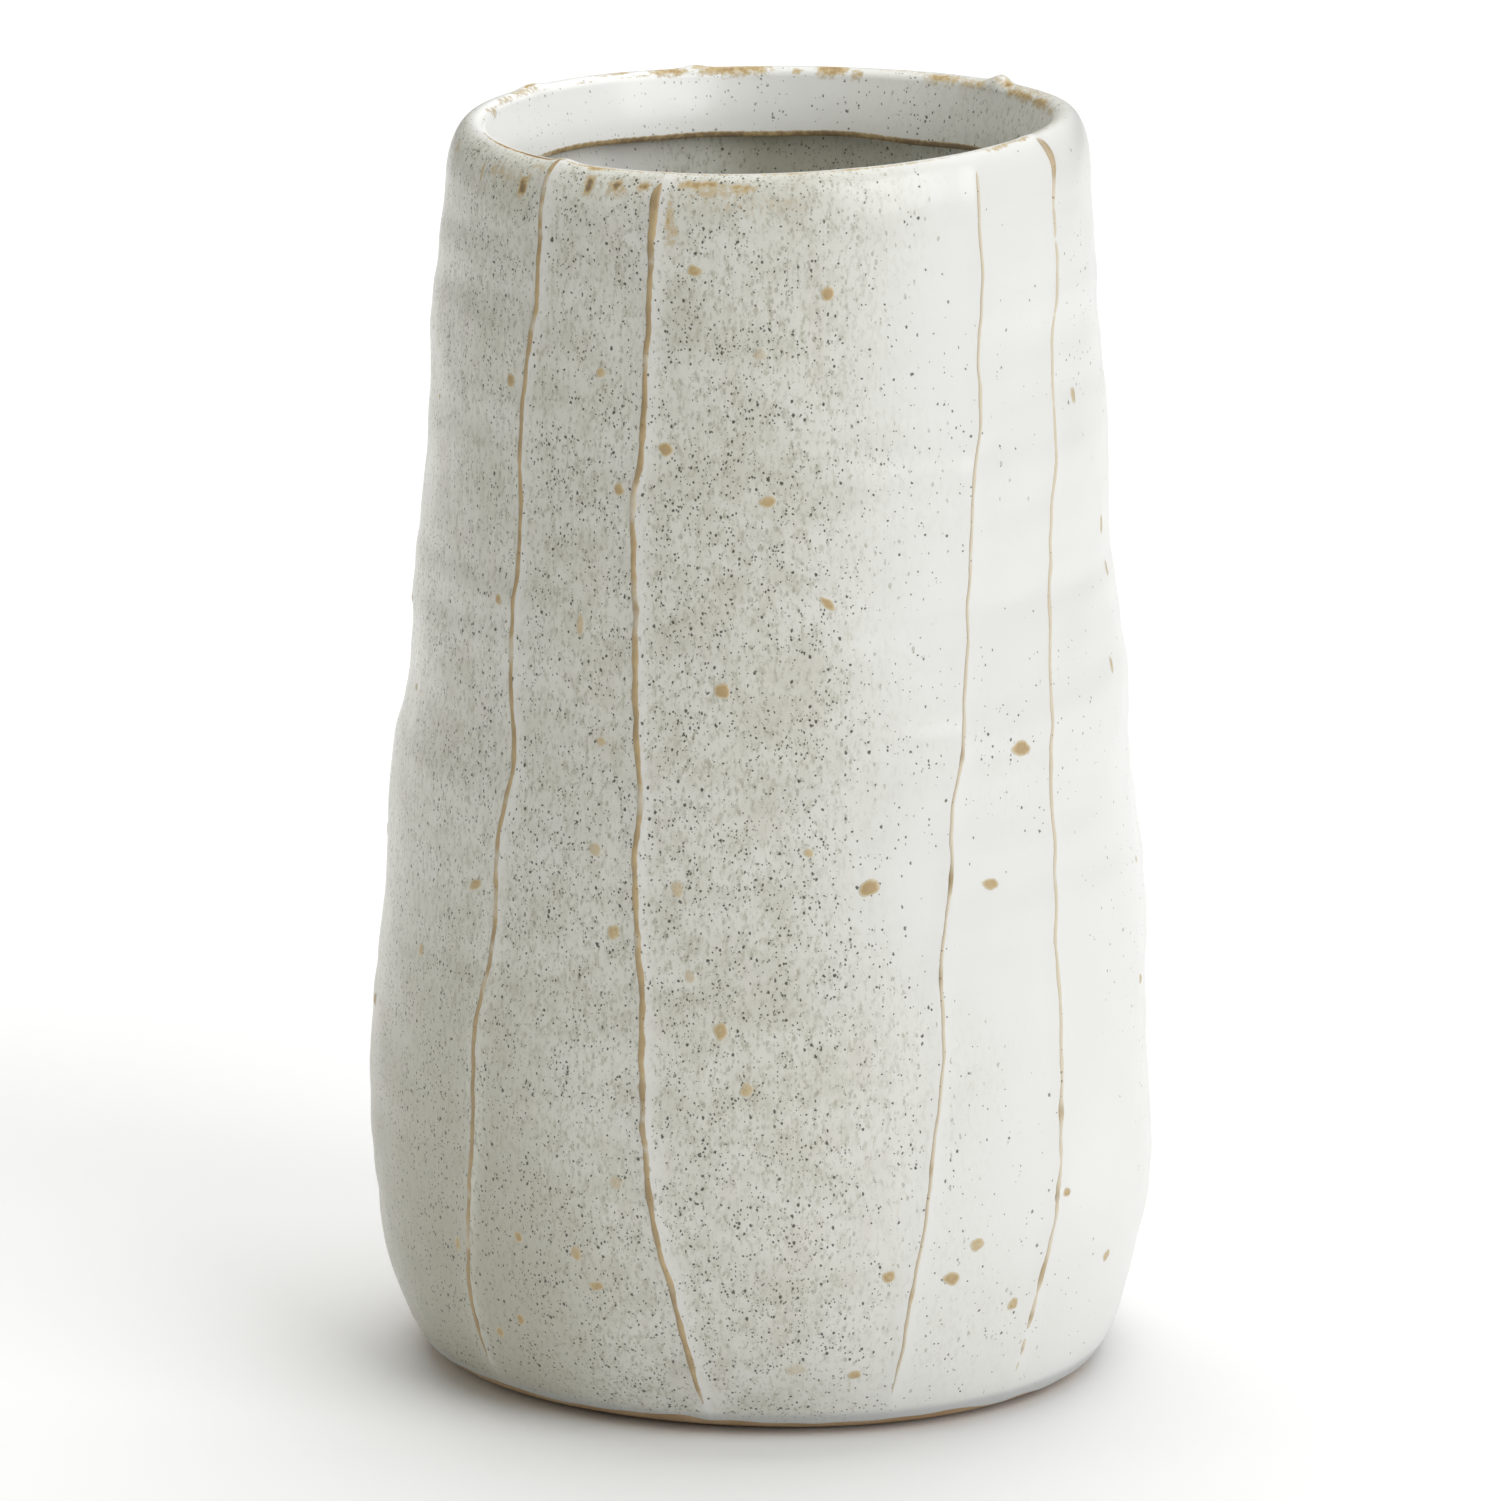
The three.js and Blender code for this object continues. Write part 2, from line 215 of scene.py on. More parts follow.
# A thread's sides, how far it stands up, how deep its root goes and how far it is sunk in the glaze.
THREAD_SIDES = 12
THREAD_RISE = 0.34
THREAD_ROOT = 0.3
THREAD_SUNK = 0.12
GROG_SIDES = 20

CAMERA_ELEVATION = 14
CAMERA_DISTANCE = 1.8
CAMERA_AIM = Vector((-0.0021, 0, 0.1171))
CAMERA_LENS = 226
FLOOR_REACH = 6
WORLD_COLOUR = (1, 1, 0.97, 1)
WORLD_STRENGTH = 0.16
FILL_COLOUR = (1, 1, 0.88)


# ---------------------------------------------------------------- shape of the vase

def curve_at(points, place):
    """A smooth curve through points of (place, value), read at an array of places."""
    places, values = np.array(points, float).T
    slopes = np.empty_like(values)
    slopes[1:-1] = (values[2:] - values[:-2]) / (places[2:] - places[:-2])
    slopes[[0, -1]] = np.diff(values)[[0, -1]] / np.diff(places)[[0, -1]]
    place = np.clip(place, places[0], places[-1])
    i = np.clip(np.searchsorted(places, place, side="right") - 1, 0, len(places) - 2)
    span = places[i + 1] - places[i]
    t = (place - places[i]) / span
    bow = span * t * (1 - t) * ((1 - t) * slopes[i] - t * slopes[i + 1])
    return values[i] + (values[i + 1] - values[i]) * t * t * (3 - 2 * t) + bow


def round_table(table, angle):
    """Reads a table of (angle, value) that runs from -180 to 180."""
    return curve_at(table, (angle + 180) % 360 - 180)


def waves(table, angle):
    """Sum of the out-of-round waves in a table of (size, lobes, angle of the first lobe)."""
    return sum(size * np.cos(np.radians(lobes * (angle - first))) for size, lobes, first in table)


def ripple(angle, level, seed, lobes, pitch):
    """Smooth random swellings of about size 1 that join up round the vase."""
    rng = np.random.default_rng(seed)
    total = 0
    for _ in range(RIPPLE_WAVES):
        turns = rng.integers(-lobes, lobes + 1)
        rise, start = rng.uniform(-1, 1) / pitch, rng.random()
        total = total + np.cos(np.radians(turns * angle) + 2 * np.pi * (rise * level + start))
    return total * math.sqrt(2 / RIPPLE_WAVES)


def profile(angle, level):
    """Radius and height of the smooth outside."""
    start = np.minimum(level, LIP_START)
    turn = (np.clip(level, LIP_START, HEIGHT) - LIP_START) / (HEIGHT - LIP_START) * np.pi / 2
    inner = np.clip((level - HEIGHT) / LIP_LENGTH, 0, 1) * np.radians(LIP_TURN)
    body = curve_at(OUTLINE, start) + waves(FOOT_WAVES, angle) * np.exp(-start / FOOT_WAVE_FADE)
    rim = HEIGHT + waves(RIM_WAVES, angle)
    radius = body - CREST_INSET * (1 - np.cos(turn)) - LIP_REACH * np.sin(inner)
    return radius, start + (rim - LIP_START) * np.sin(turn) - LIP_DROP * (1 - np.cos(inner))


def place_at(angle, radius, height, level):
    """Points in metres, from cylinder coordinates about the wall's wandering centre."""
    turn = np.radians(angle)
    x = curve_at(WANDER, np.minimum(level, LIP_START)) + radius * np.sin(turn)
    return np.stack(np.broadcast_arrays(x, -radius * np.cos(turn), height), -1) * MM


def outside(angle, level, raised=0):
    """Points on the outside, raised off it along its normal."""
    reach = 0.05
    (r0, z0), (r1, z1) = profile(angle, level - reach), profile(angle, level + reach)
    steep = np.hypot(r1 - r0, z1 - z0)
    radius, height = profile(angle, level)
    radius = radius + raised * (z1 - z0) / steep
    return place_at(angle, radius, height - raised * (r1 - r0) / steep, level)


def arc(angle, start, radius):
    """Distance round the vase from one angle to another, at a radius."""
    return np.radians((angle - start + 180) % 360 - 180) * radius


def across(angle, level, path):
    """Distance round the vase from a thread, positive towards +angle."""
    return arc(angle, curve_at(path, level), profile(angle, level)[0])


def thread_ends(path, level, fade):
    """1 along a thread, falling to 0 over a distance past its two ends."""
    low, high = path[0][0], path[-1][0]
    return np.clip((level - low) / fade + 1, 0, 1) * np.clip((high - level) / fade + 1, 0, 1)


def glaze_swell(angle, level):
    """How far the glaze piles up along the threads."""
    swell = 0
    for _, _, path in THREADS:
        near = np.exp(-(across(angle, level, path) / SWELL_WIDTH) ** 2)
        swell = swell + SWELL_HEIGHT * near * thread_ends(path, level, SWELL_FADE)
    return swell


def relief(angle, level):
    """The hand-made unevenness of the outside: soft dents, throwing rings and glaze swellings."""
    dents = 0.22 * ripple(angle, level, seed=3, lobes=9, pitch=40)
    dents = dents + 0.06 * ripple(angle, level, seed=5, lobes=26, pitch=16)
    rings = 0.085 * ripple(angle, level, seed=8, lobes=2, pitch=7)
    calm = np.clip((level - 4) / 20, 0, 1) * np.clip((HEIGHT + 4 - level) / 20, 0, 1)
    return (dents + rings) * calm + glaze_swell(angle, level)


# ---------------------------------------------------------------- meshes

def make_piece(name, points, faces):
    """A mesh object in the scene, with its sharp edges marked."""
    mesh = bpy.data.meshes.new(name)
    mesh.from_pydata(points.reshape(-1, 3).tolist(), [], faces)
    mesh.set_sharp_from_angle(angle=math.radians(SHARP_ANGLE))
    piece = bpy.data.objects.new(name, mesh)
    bpy.context.scene.collection.objects.link(piece)
    return piece


def grid_faces(rows, columns, loop):
    """Quads over a grid that closes round its columns, and over its rows too if loop."""
    row = np.arange(rows if loop else rows - 1)[:, None]
    column = np.arange(columns)[None, :]
    above, beside = (row + 1) % rows, (column + 1) % columns
    corners = [row * columns + column, row * columns + beside,
               above * columns + beside, above * columns + column]
    return np.stack(np.broadcast_arrays(*corners), -1).reshape(-1, 4).tolist()


def capped_faces(rows, columns):
    """Quads over a tube, with an n-gon at each end."""
    last = (rows - 1) * columns
    ends = [list(range(columns))[::-1], list(range(last, last + columns))]
    return grid_faces(rows, columns, False) + ends


def paint(piece, name, values):
    """Stores a number for each point of the mesh, which its material reads."""
    layer = piece.data.attributes.new(name, "FLOAT", "POINT")
    layer.data.foreach_set("value", np.asarray(values, np.float32).ravel())


def spread(*stretches):
    """Values over stretches of (from, to, step), joined end to end."""
    parts = [np.linspace(a, b, max(round(abs(b - a) / step), 1) + 1)[:-1] for a, b, step in stretches]
    return np.concatenate([*parts, [stretches[-1][1]]])


def column_angles(levels, pitch):
    """Angles of the mesh's columns at each level: close together along every thread."""
    near = np.concatenate([-np.array(NEAR_THREAD[::-1]), [0], NEAR_THREAD])
    paths = sorted((path for _, _, path in THREADS), key=lambda path: path[-1][1] % 360)
    centres = [curve_at(path, levels) % 360 for path in paths]
    columns = []
    for i, centre in enumerate(centres):
        gap = (centres[(i + 1) % len(centres)] - centre) % 360
        radius = profile(centre, levels)[0]
        edge = np.degrees(near[-1] / radius)
        columns += [centre + np.degrees(offset / radius) for offset in near]
        count = max(round(float(np.radians(gap.mean()) * MEAN_RADIUS / pitch)), 2)
        columns += [centre + edge + (gap - 2 * edge) * k / count for k in range(1, count)]
    return np.stack(columns, 1)


def thinness(angle, level):
    """How thin the glaze is: 1 where bare clay shows, and more where that has burnt dark."""
    thin = 0
    for spot_angle, spot_level, wide, tall, strength in THIN_PATCHES:
        aside = arc(angle, spot_angle, PATCH_RADIUS)
        near = np.exp(-(2 * aside / wide) ** 4 - (2 * (level - spot_level) / tall) ** 2)
        thin = np.maximum(thin, strength * near)
    return thin


def crest_line(angle, level):
    """The line of clay where the glaze has drawn off the crest: further in towards the back."""
    middle = HEIGHT - 0.9 + np.minimum(12 * np.sin(np.radians(angle) / 2) ** 4, 3)
    uneven = 1 + 0.3 * ripple(angle, 0 * angle, seed=51, lobes=30, pitch=50)
    strength = round_table(CREST_LINE, angle) * uneven
    return np.maximum(strength, 0) * np.exp(-((level - middle) / 0.45) ** 2)


def pooling_and_highlight(angle, level):
    """How much the glaze pools beside the threads, mostly on their +angle side, which faces the key light on
    the front: partly painted light.
    """
    pool_and_highlight = 0
    for _, _, path in THREADS:
        away = across(angle, level, path)
        side = np.where(away > 0, 1, POOL_AND_HIGHLIGHT_BEHIND)
        near = np.exp(-(away / POOL_AND_HIGHLIGHT_WIDTH) ** 2)
        pool_and_highlight = np.maximum(pool_and_highlight, side * near * thread_ends(path, level, POOL_AND_HIGHLIGHT_FADE))
    return pool_and_highlight


def glaze_edge(angle):
    """Level of the wavy lower edge of the glaze."""
    here = 0 * angle
    average = GLAZE_EDGE - GLAZE_EDGE_TILT * np.sin(np.radians(angle + 8))
    long_waves = 0.4 * ripple(angle, here, seed=21, lobes=9, pitch=50)
    return average + long_waves + 0.16 * ripple(angle, here, seed=22, lobes=40, pitch=50)


def left_foot(angle, level):
    """1 at the foot on the left, where painted shade darkens the glaze, falling to 0 higher up and on the
    right.
    """
    left = np.clip(-np.sin(np.radians(angle + 15)), 0, 1)
    return np.exp(-(level / LEFT_FOOT_SHADE_REACH) ** 2) * left


def glaze_thickness_and_shading(angle, level):
    """How thick and white the glaze lies, with painted light and shade: whiter where the key light falls,
    darker at the foot on the left.
    """
    return round_table(THICKNESS_AND_LIGHT, angle) - LEFT_FOOT_SHADE * left_foot(angle, level)


def speckle_share(angle, level):
    """How thickly the iron specks lie: fewer near the top of the front's right half."""
    near_top = np.clip((level - 205) / 15, 0, 1) * np.clip(np.sin(np.radians(angle + 8)) * 5, 0, 1)
    clouds = 0.08 * ripple(angle, level, seed=14, lobes=6, pitch=50)
    share = round_table(SPECKLES, angle) + 0.5 * left_foot(angle, level) + clouds
    return np.clip(share, 0, 1) * (1 - 0.55 * near_top)


def paint_glaze(piece, angle, level, lining_shading, lining_specks, lining_thin=0):
    """Stores how the glaze lies at each point, with painted light and shade carried in its thickness; rows
    past those of angle are the lining.
    """
    clouds = 0.08 * ripple(angle, level, seed=12, lobes=6, pitch=50)
    pool_and_highlight = pooling_and_highlight(angle, level)
    # The thickness carries painted light and shade: the whiter right side, the painted shade at the left
    # foot, and the whiter glaze on the lit side of threads.
    thick = glaze_thickness_and_shading(angle, level) + clouds
    rules = {
        "thick": (thick + 0.7 * pool_and_highlight * (1 - np.maximum(thick, 0)), lining_shading),
        "thin": (np.maximum(thinness(angle, level), crest_line(angle, level)), lining_thin),
        "speckle": (speckle_share(angle, level) * (1 - 0.7 * pool_and_highlight), lining_specks),
    }
    rows = len(piece.data.vertices) // angle.shape[1] - len(angle)
    over_crest = np.clip((level - HEIGHT + 2) / 3.5, 0, 1)
    for name, (values, inside) in rules.items():
        inside = np.broadcast_to(inside, (rows, angle.shape[1]))
        if name != "thin":
            values = values + over_crest * (inside[0] - values)
        paint(piece, name, np.concatenate([values, inside]))


def make_wall():
    """The thrown wall: a fine outside that follows the threads, and a plain inside."""
    above = spread((0, 2, 0.25), (2, 8, 0.6), (8, 222, 1.5), (222, SEAM, 0.8))
    angle = column_angles(above, 2.0)
    above = above[:, None]
    level = above + glaze_edge(angle) * np.clip(1 - above / EDGE_REACH, 0, 1)
    # The glaze ends in a thick rounded edge, drawn in where it meets the clay.
    rounded = 0.42 * np.exp(-above / 2.2) * (1 - np.exp(-above / 0.35))
    drawn_in = 0.25 * np.exp(-above / 0.3)
    outer = outside(angle, level, relief(angle, level) + (rounded - drawn_in))

    heights = spread((LIP_START, 30, 6.5), (30, 9.5, 2.5))[:, None]
    last = np.broadcast_to(angle[-1], (len(heights), angle.shape[1]))
    thickness = WALL_THICKNESS + FLOOR_FILLET * np.exp((FLOOR_HEIGHT - heights) / FLOOR_FILLET_FADE)
    inner = place_at(last, profile(last, heights)[0] - thickness, heights, heights)
    spigot = place_at(last[:1], SPIGOT_RADIUS, SPIGOT_TOP, 0)
    points = np.concatenate([outer, inner, spigot])
    piece = make_piece("glazed_wall", points, grid_faces(*points.shape[:2], True))
    # Painted light and shade on the lining: much lighter on the left, which faces the key light, and dark
    # grey front and back as painted shade inside the vase.
    right = np.sin(np.radians(angle[-1:]))
    lining_shading = np.maximum(1.2 * right, -4 * right) - 1
    paint_glaze(piece, angle, level, lining_shading, 0.5)
    return piece


def make_rim():
    """The rolled rim: lip, bore, narrow seat and the skirt hidden inside the wall."""
    lip_end = HEIGHT + LIP_LENGTH
    level = spread((SEAM, 238, 0.6), (238, lip_end, 0.22))
    angle = column_angles(level, 1.1)
    level = np.broadcast_to(level[:, None], angle.shape)
    calm = np.clip((lip_end - level) / (lip_end - HEIGHT), 0, 1)
    lip = outside(angle, level, relief(angle, level) * calm + rim_bumps(angle, level))

    last = angle[-1:]
    seat = HEIGHT - SEAT_DEPTH + 0.15 * ripple(last, 0 * last, seed=31, lobes=14, pitch=50)
    bore, lip_bottom = profile(last, lip_end)
    down = spread((0, 0.9, 0.1), (0.9, 1, 0.02))[1:, None]
    tapered = bore - BORE_TAPER * np.sin(down * np.pi / 2)
    bore_wall = place_at(last, tapered, lip_bottom + (seat + 1 - lip_bottom) * down, LIP_START)
    turn = np.radians(spread((0, 90, 18)))[1:, None]
    edge = place_at(last, tapered[-1:] + 1 - np.cos(turn), seat + 1 - np.sin(turn), LIP_START)
    skirt = profile(last, LIP_START)[0] - WALL_THICKNESS - 0.05
    under = place_at(last, skirt, seat, LIP_START)
    top = place_at(last, skirt, SEAM, LIP_START)
    points = np.concatenate([lip, bore_wall, edge, under, top])
    piece = make_piece("glazed_rim", points, grid_faces(*points.shape[:2], True))
    drawn_off = np.concatenate([np.clip((down - 0.97) / 0.02, 0, 1), np.ones((len(edge) + 2, 1))])
    # Painted light: the bore is painted whiter on the left, where it faces the key light.
    left = -np.sin(np.radians(last)) * np.ones_like(drawn_off)
    lining_specks = 0.09 - 0.06 * left - 0.26 * np.minimum(np.cos(np.radians(last)), 0)
    paint_glaze(piece, angle, level, 1.1 + 0.8 * left, lining_specks, drawn_off * seat_break_and_shade(last))
    return piece


def seat_break_and_shade(angle):
    """How bare the lower edge of the collar is: tan on the left, and darker brown on the right as painted
    shade, where the edge faces away from the key light.
    """
    side = 1.2 + 0.2 * np.sin(np.radians(angle))
    return side + 0.15 * ripple(angle, 0 * angle, seed=33, lobes=24, pitch=50)


def rim_bumps(angle, level):
    """How far the bumps raise the crest."""
    bumps = 0
    for spot, size in RIM_BUMPS:
        aside = arc(angle, spot, CREST_RADIUS)
        bumps = bumps + size * np.exp(-(aside / 2.4) ** 2 - ((level - HEIGHT) / 2.2) ** 2)
    return bumps


def make_base():
    """The bare clay foot: turned rings in the recess, a worn foot ring, and the floor inside."""
    angle = np.linspace(0, 360, 360, endpoint=False)[None, :]
    radii = spread((0.8, RECESS_RADIUS, 0.55))[:, None]
    turned = RECESS_DEPTH + 0.07 * np.sin(2 * np.pi * radii / 2.1 + np.radians(angle))
    recess = place_at(angle, radii, turned, 0)
    step_out = RECESS_RADIUS + np.linspace(0.3, 1.6, 5)[:, None]
    step = place_at(angle, step_out, np.linspace(RECESS_DEPTH, 0.08, 5)[:, None], 0)
    foot = profile(angle, np.zeros_like(angle))[0]
    ring = place_at(angle, np.concatenate([RING_INNER_RADIUS + 0 * foot, foot - 0.7]), 0, 0)
    rising = spread((0.25, 5.2, 0.35))[:, None]
    side = outside(angle, rising, -0.12 - 0.25 * np.exp(-rising / 0.3))
    shoulder = place_at(angle, SPIGOT_RADIUS + 3, SPIGOT_TOP, 0)
    floor_radii = spread((SPIGOT_RADIUS + 1.5, 1, 1.9))[:, None]
    ridge = 0.12 * np.sin(2 * np.pi * floor_radii / 5 + np.radians(angle))
    floor = place_at(angle, floor_radii, FLOOR_HEIGHT + ridge, 0)
    points = np.concatenate([recess, step, ring, side, shoulder, floor])
    return make_piece("clay_base", points, capped_faces(*points.shape[:2]))


def make_thread(number, width, beads, path):
    """One clay thread: a low rounded rib that follows the wall, wavers, beads and tapers off."""
    low, high = path[0][0], path[-1][0]
    level = spread((low, high, 0.6))
    here = 0 * level
    foot_taper = np.sqrt(np.clip((level - low) / 9, 0.01, 1))
    taper = foot_taper * np.sqrt(np.clip((high - level) / 1.4, 0.04, 1))
    waver = 1 + 0.08 * ripple(here, level, seed=40 + number, lobes=0, pitch=5)
    waver = waver + 0.06 * ripple(here, level, seed=60 + number, lobes=0, pitch=1.8)
    bead = sum(size * np.exp(-((level - at) / length) ** 2) for at, size, length in beads)
    swell, sink = np.clip(bead, 0, 3), np.clip(bead, -1, 0)
    angle = curve_at(path, level) + 0.06 * ripple(here, level, seed=80 + number, lobes=0, pitch=6)
    half = 0.5 * width * waver * taper * (1 + 0.4 * swell + 0.3 * sink)
    rib = THREAD_RISE * taper * (1 + 0.35 * np.sqrt(swell)) + 0.42 * sink
    turn = np.radians(np.arange(THREAD_SIDES) * 360 / THREAD_SIDES)[None, :]
    radius = profile(angle, level)[0][:, None]
    columns = angle[:, None] + np.degrees(half[:, None] * np.cos(turn) / radius)
    rows = np.broadcast_to(level[:, None], columns.shape)
    depth = np.where(np.sin(turn) > 0, rib[:, None], THREAD_ROOT) * np.sin(turn)
    seated = relief(angle, level) - THREAD_SUNK
    points = outside(columns, rows, seated[:, None] + depth)[:, ::-1]
    piece = make_piece(f"clay_thread_{number}", points, capped_faces(*points.shape[:2]))
    # The glaze thickness table carries painted light, so threads on the right, where the key light falls,
    # are painted paler.
    bare = 0.5 * np.minimum(swell, 1)[:, None]
    paint(piece, "thick", round_table(THICKNESS_AND_LIGHT, columns) - bare)
    return piece


def grog_spots(rng):
    """The listed grains of grog, and more scattered at the back."""
    spots = list(GROG)
    for _ in range(GROG_AT_BACK):
        size = rng.uniform(1.4, 3.0)
        spots.append((rng.uniform(75, 285), rng.uniform(14, 225), size, size * rng.uniform(0.6, 1.1),
                      rng.uniform(-60, 60), rng.uniform(0.2, 1)))
    return spots


def make_grog():
    """Coarse clay grains under the glaze: low domes, each with a skirt sunk in the wall."""
    rng = np.random.default_rng(17)
    reach, lift = np.array(GROG_REACH)[:, None], np.array(GROG_LIFT)[:, None]
    points, faces, values = [], [], []
    for angle, level, wide, tall, degrees, brown in grog_spots(rng):
        lean = math.radians(degrees)
        turn = -np.radians(np.arange(GROG_SIDES) * 360 / GROG_SIDES)[None, :]
        lobe = 1 + sum(0.05 * np.cos(k * turn + rng.uniform(0, 6)) for k in (2, 3, 4))
        side = reach * lobe * np.cos(turn) * wide * 0.6
        up = reach * lobe * np.sin(turn) * tall * 0.6
        along = side * math.cos(lean) - up * math.sin(lean)
        columns = angle + np.degrees(along / profile(angle, level)[0])
        rows = level + side * math.sin(lean) + up * math.cos(lean)
        height = lift * 0.13 * min(wide, tall) * (0.4 + 0.6 * brown)
        start = len(points) * GROG_SIDES * len(reach)
        points.append(outside(columns, rows, relief(columns, rows) + height))
        faces += [[start + corner for corner in face] for face in capped_faces(len(reach), GROG_SIDES)]
        bare = (0.35 + 0.75 * brown) * np.clip(1.9 - 1.8 * reach, 0, 0.85) * np.ones_like(turn)
        # The glaze thickness carries painted light and shade here too, as on the wall.
        values.append(np.stack([glaze_thickness_and_shading(columns, rows), bare, speckle_share(columns, rows)]))
    piece = make_piece("grog_lumps", np.concatenate(points), faces)
    for name, layer in zip(("thick", "thin", "speckle"), np.concatenate(values, 1)):
        paint(piece, name, layer)
    return piece


# ---------------------------------------------------------------- materials

class Material:
    """A material's node tree: each method adds a node and gives back its output."""

    def __init__(self, name):
        self.made = bpy.data.materials.new(name)
        self.made.use_nodes = True
        self.tree = self.made.node_tree
        self.shader = self.tree.nodes["Principled BSDF"]
        coordinates = self.tree.nodes.new("ShaderNodeTexCoord")
        self.place = coordinates.outputs["Object"]

    def node(self, kind, inputs, output=0, **settings):
        """Adds a node with its settings and inputs, by name or number."""
        node = self.tree.nodes.new(kind)
        for name, value in settings.items():
            setattr(node, name, value)
        for name, value in inputs.items():
            self.feed(node.inputs[name], value)
        return node.outputs[output]

    def feed(self, socket, value):
        """Links a socket to another node's output, or sets its value."""
        if isinstance(value, bpy.types.NodeSocket):
            self.tree.links.new(value, socket)
        else:
            socket.default_value = value

    def stretched(self, x, y, z):
        """Coordinates times a factor on each axis: features shrink as it grows."""
        return self.node("ShaderNodeVectorMath", {0: self.place, 1: (x, y, z)}, operation="MULTIPLY")

    def noise(self, size, detail=2, place=None, roughness=0.5):
        """Noise with features of a size in metres."""
        inputs = {"Vector": place or self.place, "Scale": 1 / size}
        inputs.update({"Detail": detail, "Roughness": roughness})
        return self.node("ShaderNodeTexNoise", inputs)

    def math(self, operation, a, b=0.0, clamp=False):
        return self.node("ShaderNodeMath", {0: a, 1: b}, operation=operation, use_clamp=clamp)

    def step(self, value, low, high, bottom=0.0, top=1.0):
        """Goes smoothly from bottom to top as the value goes from low to high."""
        inputs = {"Value": value, "From Min": low, "From Max": high, "To Min": bottom, "To Max": top}
        return self.node("ShaderNodeMapRange", inputs, interpolation_type="SMOOTHSTEP")

    def mix(self, factor, a, b):
        return self.node("ShaderNodeMix", {0: factor, 6: a, 7: b}, output=2, data_type="RGBA")

    def number(self, name):
        """A number stored on the mesh by paint."""
        return self.node("ShaderNodeAttribute", {}, output="Fac", attribute_name=name)

    def shaken(self, size, amount, z=1.0):
        """Coordinates shaken by noise, which makes round spots irregular; z under 1 makes them tall."""
        inputs = {"Vector": self.place, "Scale": 1 / size, "Detail": 2}
        noise = self.node("ShaderNodeTexNoise", inputs, output="Color")
        centred = self.node("ShaderNodeVectorMath", {0: noise, 1: (0.5, 0.5, 0.5)}, operation="SUBTRACT")
        shake = self.node("ShaderNodeVectorMath", {0: centred, 3: amount}, operation="SCALE")
        shaken = self.node("ShaderNodeVectorMath", {0: self.place, 1: shake}, operation="ADD")
        return self.node("ShaderNodeVectorMath", {0: shaken, 1: (1, 1, z)}, operation="MULTIPLY")

    def specks(self, place, cell, share, smallest, largest):
        """Spots in cells of a size in metres: a share of the cells has one, of a radius in metres."""
        cells = self.node("ShaderNodeTexVoronoi", {"Vector": place, "Scale": 1 / cell}).node
        pick = self.node("ShaderNodeSeparateColor", {"Color": cells.outputs["Color"]}).node
        size = self.step(pick.outputs["Green"], 0.0, 1.0, smallest / cell, largest / cell)
        spot = self.step(cells.outputs["Distance"], size, self.math("MULTIPLY", size, 0.55))
        there = self.math("LESS_THAN", pick.outputs["Red"], share)
        return self.math("MULTIPLY", spot, there)

    def finish(self, colour, roughness, bump):
        """Joins colour, roughness and a bump height in metres to the shader."""
        self.feed(self.shader.inputs["Base Color"], colour)
        self.feed(self.shader.inputs["Roughness"], roughness)
        normal = self.node("ShaderNodeBump", {"Height": bump, "Distance": 1.0, "Strength": 1.0})
        self.feed(self.shader.inputs["Normal"], normal)
        return self.made


WHITE_GLAZE = (0.92, 0.925, 0.905, 1)
THICK_GLAZE = (0.75, 0.75, 0.725, 1)
GREY_GLAZE = (0.68, 0.68, 0.62, 1)
# Painted shade: the dark grey of the lining inside the vase and of the foot on the left, and the olive where
# that shade is deepest.
LINING_SHADE_GLAZE = (0.47, 0.46, 0.385, 1)
OLIVE_SHADE_GLAZE = (0.35, 0.34, 0.26, 1)
CLOUD = (0.47, 0.455, 0.365, 1)
WARM_CLOUD = (0.56, 0.50, 0.43, 1)
PALE_CLOUD = (0.70, 0.70, 0.665, 1)
BLUE_GREY = (0.45, 0.47, 0.47, 1)
WISP = (0.37, 0.355, 0.27, 1)
FAINT_SPECK = (0.30, 0.295, 0.225, 1)
DARK_SPECK = (0.055, 0.055, 0.04, 1)
BEIGE = (0.55, 0.475, 0.345, 1)
TAN = (0.41, 0.285, 0.13, 1)
GOLD_TAN = (0.53, 0.41, 0.21, 1)
DARK_TAN = (0.20, 0.13, 0.06, 1)
PALE_TAN = (0.70, 0.63, 0.50, 1)
BARE = (0.50, 0.365, 0.22, 1)
DARK_BARE = (0.40, 0.26, 0.14, 1)
PALE_GRIT = (0.62, 0.50, 0.34, 1)
THREAD_DARK = (0.33, 0.24, 0.125, 1)
THREAD_LIGHT = (0.46, 0.345, 0.185, 1)
FLOOR_DARK = (0.86, 0.86, 0.86, 1)
FLOOR_LIGHT = (0.88, 0.88, 0.88, 1)


